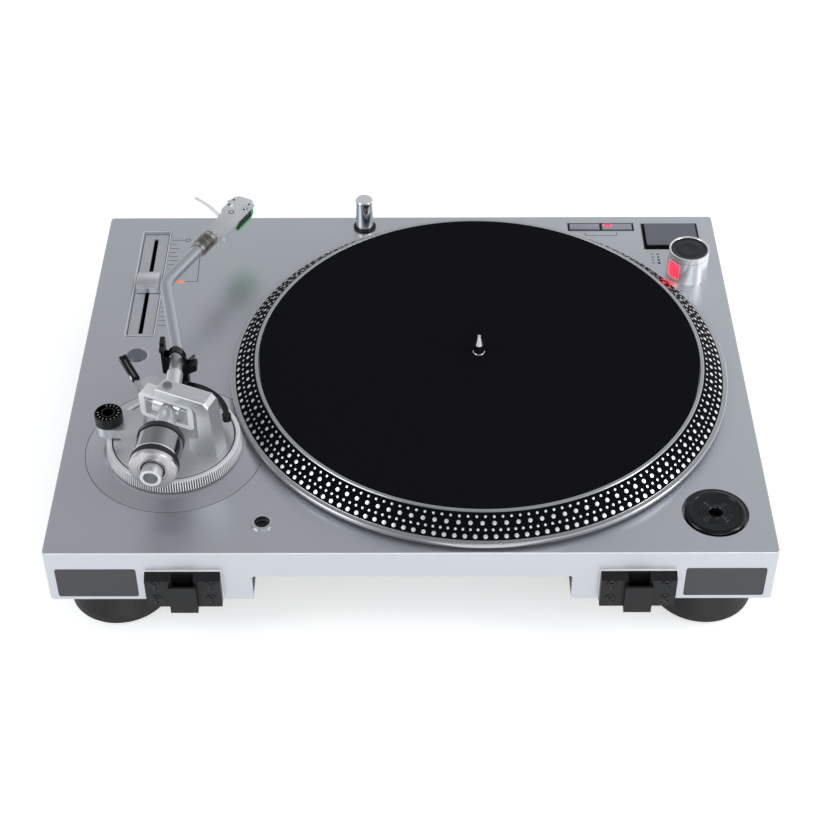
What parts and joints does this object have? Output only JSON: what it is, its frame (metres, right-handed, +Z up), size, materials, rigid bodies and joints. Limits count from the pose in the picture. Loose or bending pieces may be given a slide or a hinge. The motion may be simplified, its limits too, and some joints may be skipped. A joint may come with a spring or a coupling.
{
  "type": "record turntable",
  "caption": "Direct-drive record turntable with an S-shaped tone arm, speed slider, strobe tower and pop-up light on four adjustable feet.",
  "frame": {"origin": "under the middle of the footprint, on the surface the feet stand on", "axes": "+X to the tone arm's side, +Y to the back, +Z up"},
  "size_m": [0.448, 0.352, 0.1272],
  "materials": {
    "case_paint": "satin metallic silver",
    "tray_black": "moulded black",
    "black_plastic": "fine grained black",
    "gloss_black": "glossy black",
    "screw_black": "blackened",
    "steel": "turned",
    "chrome": "bright plated",
    "aluminium": "satin",
    "platter_metal": "turned with printed dots",
    "felt": "woven black felt",
    "rubber": "soft black",
    "brass": "plain",
    "copper": "enamelled winding",
    "magnet": "sintered",
    "board": "solder masked",
    "grey_key": "satin grey",
    "red_lamp": "lit red",
    "green_plastic": "clear green",
    "dark_chrome": "dark plated"
  },
  "bodies": {
    "case": {"top_cover": "case_paint", "base_tray": "tray_black", "case_screws": "screw_black", "hinge_bracket_left": "black_plastic", "hinge_bracket_right": "black_plastic", "rca_jacks": "brass", "power_inlet": "black_plastic", "ground_post": "steel", "usb_socket": "steel", "motor_frame": "aluminium", "bearing_sleeve": "brass", "stator": "copper", "main_board": "board", "control_bezels": "black_plastic", "tempo_potentiometer": "black_plastic", "tempo_lamp": "red_lamp", "strobe_tower": "aluminium", "strobe_lens": "red_lamp", "light_collar": "black_plastic", "headshell_socket": "chrome", "arm_base_plate": "aluminium"},
    "turning_platter": {"platter": "platter_metal", "slip_mat": "felt", "spindle": "chrome", "rotor_magnet": "magnet"},
    "start_key": {"start_button": "grey_key"},
    "key_33": {"button_33": "grey_key"},
    "key_45": {"button_45": "grey_key"},
    "range_key": {"range_button": "grey_key"},
    "quartz_key": {"quartz_button": "grey_key"},
    "dial": {"power_dial": "aluminium"},
    "pop_light": {"target_light": "chrome"},
    "tempo_fader": {"tempo_slider": "aluminium"},
    "loose_adapter": {"adapter_45": "gloss_black"},
    "line_selector": {"line_switch": "black_plastic"},
    "arm_height_ring": {"height_ring": "aluminium"},
    "arm_stand": {"arm_platform": "aluminium", "arm_yoke": "aluminium", "pivot_screws": "brass", "arm_rest": "black_plastic"},
    "keeper": {"rest_clip": "black_plastic"},
    "lift_handle": {"cue_lever": "black_plastic"},
    "lift_rail": {"lifter_bar": "rubber"},
    "skate_dial": {"anti_skate_knob": "black_plastic"},
    "gimbal": {"gimbal_ring": "aluminium"},
    "tonearm": {"arm_hub": "chrome", "arm_tube": "chrome", "headshell": "aluminium", "headshell_screws": "chrome", "finger_lift": "aluminium", "cartridge": "gloss_black", "stylus": "green_plastic"},
    "nut": {"collar_nut": "dark_chrome"},
    "weight_thread": {"counterweight_bush": "black_plastic"},
    "weight": {"counterweight": "dark_chrome"},
    "weight_dial": {"force_dial": "black_plastic"},
    "stand_front_left": {"foot_front_left": "rubber"},
    "stand_front_right": {"foot_front_right": "rubber"},
    "stand_back_left": {"foot_back_left": "rubber"},
    "stand_back_right": {"foot_back_right": "rubber"}
  },
  "joints": [
    {"name": "platter_spin", "type": "hinge", "parent": "case", "child": "turning_platter", "pos_m": [-0.0455, 0.0004, 0.072], "axis": [0, 0, -1], "continuous": true},
    {"name": "start_press", "type": "slide", "parent": "case", "child": "start_key", "axis": [0, 0, 1], "range_m": [-0.0015, 0], "stiffness_N_per_m": 300, "springref_m": 0.001},
    {"name": "press_33", "type": "slide", "parent": "case", "child": "key_33", "axis": [0, 0, 1], "range_m": [-0.001, 0], "stiffness_N_per_m": 300, "springref_m": 0.001},
    {"name": "press_45", "type": "slide", "parent": "case", "child": "key_45", "axis": [0, 0, 1], "range_m": [-0.001, 0], "stiffness_N_per_m": 300, "springref_m": 0.001},
    {"name": "range_press", "type": "slide", "parent": "case", "child": "range_key", "axis": [0, 0, 1], "range_m": [-0.001, 0], "stiffness_N_per_m": 300, "springref_m": 0.001},
    {"name": "quartz_press", "type": "slide", "parent": "case", "child": "quartz_key", "axis": [0, 0, 1], "range_m": [-0.001, 0], "stiffness_N_per_m": 300, "springref_m": 0.001},
    {"name": "power_turn", "type": "hinge", "parent": "case", "child": "dial", "pos_m": [-0.198, -0.1075, 0.0896], "axis": [0, 0, 1], "range_deg": [0, 50]},
    {"name": "light_pop", "type": "slide", "parent": "case", "child": "pop_light", "axis": [0, 0, 1], "range_m": [-0.022, 0], "stiffness_N_per_m": 60, "springref_m": 0.012},
    {"name": "tempo_slide", "type": "slide", "parent": "case", "child": "tempo_fader", "axis": [0, 1, 0], "range_m": [-0.046, 0.046]},
    {"name": "adapter_lift", "type": "slide", "parent": "case", "child": "loose_adapter", "axis": [0, 0, 1], "range_m": [0, 0.04]},
    {"name": "switch_slide", "type": "slide", "parent": "case", "child": "line_selector", "axis": [1, 0, 0], "range_m": [-0.002, 0.002]},
    {"name": "ring_turn", "type": "hinge", "parent": "case", "child": "arm_height_ring", "pos_m": [0.1515, 0.0748, 0.075], "axis": [0, 0, 1], "range_deg": [0, 180]},
    {"name": "platform_lift", "type": "slide", "parent": "case", "child": "arm_stand", "axis": [0, 0, 1], "range_m": [0, 0.006]},
    {"name": "clip_open", "type": "hinge", "parent": "arm_stand", "child": "keeper", "pos_m": [0.1604, 0.0255, 0.1196], "axis": [0, 1, 0], "range_deg": [0, 100]},
    {"name": "cue_turn", "type": "hinge", "parent": "arm_stand", "child": "lift_handle", "pos_m": [0.167, 0.045, 0.099], "axis": [-0.8251, -0.565, 0], "range_deg": [0, 45]},
    {"name": "lifter_rise", "type": "slide", "parent": "arm_stand", "child": "lift_rail", "axis": [0, 0, 1], "range_m": [0, 0.004]},
    {"name": "anti_skate_turn", "type": "hinge", "parent": "arm_stand", "child": "skate_dial", "pos_m": [0.1928, 0.0677, 0.0905], "axis": [0, 0, 1], "range_deg": [0, 270]},
    {"name": "arm_yaw", "type": "hinge", "parent": "arm_stand", "child": "gimbal", "pos_m": [0.1515, 0.0748, 0.1088], "axis": [0, 0, -1], "range_deg": [0, 48]},
    {"name": "arm_pitch", "type": "hinge", "parent": "gimbal", "child": "tonearm", "pos_m": [0.1515, 0.0748, 0.1088], "axis": [-0.915, 0.4035, 0], "range_deg": [-0.9, 6]},
    {"name": "nut_turn", "type": "hinge", "parent": "tonearm", "child": "nut", "pos_m": [0.14471, -0.09488, 0.1088], "axis": [-0.454, -0.891, 0], "range_deg": [0, 60]},
    {"name": "weight_travel", "type": "slide", "parent": "tonearm", "child": "weight_thread", "axis": [0.0819, 0.9966, 0], "range_m": [-0.008, 0.006]},
    {"name": "weight_turn", "type": "hinge", "parent": "weight_thread", "child": "weight", "pos_m": [0.15478, 0.11467, 0.1088], "axis": [0.0819, 0.9966, 0], "range_deg": [-720, 540]},
    {"name": "dial_turn", "type": "hinge", "parent": "weight", "child": "weight_dial", "pos_m": [0.15478, 0.11467, 0.1088], "axis": [0.0819, 0.9966, 0], "range_deg": [-180, 180]},
    {"name": "level_front_left", "type": "slide", "parent": "case", "child": "stand_front_left", "axis": [0, 0, 1], "range_m": [-0.006, 0]},
    {"name": "level_front_right", "type": "slide", "parent": "case", "child": "stand_front_right", "axis": [0, 0, 1], "range_m": [-0.006, 0]},
    {"name": "level_back_left", "type": "slide", "parent": "case", "child": "stand_back_left", "axis": [0, 0, 1], "range_m": [-0.006, 0]},
    {"name": "level_back_right", "type": "slide", "parent": "case", "child": "stand_back_right", "axis": [0, 0, 1], "range_m": [-0.006, 0]}
  ],
  "couplings": [
    {"joint": "ring_turn", "follows": "platform_lift", "rad_per_m": 523.59},
    {"joint": "lifter_rise", "follows": "cue_turn", "m_per_rad": 0.0050929},
    {"joint": "weight_travel", "follows": "weight_turn", "m_per_rad": 0.00063661}
  ]
}
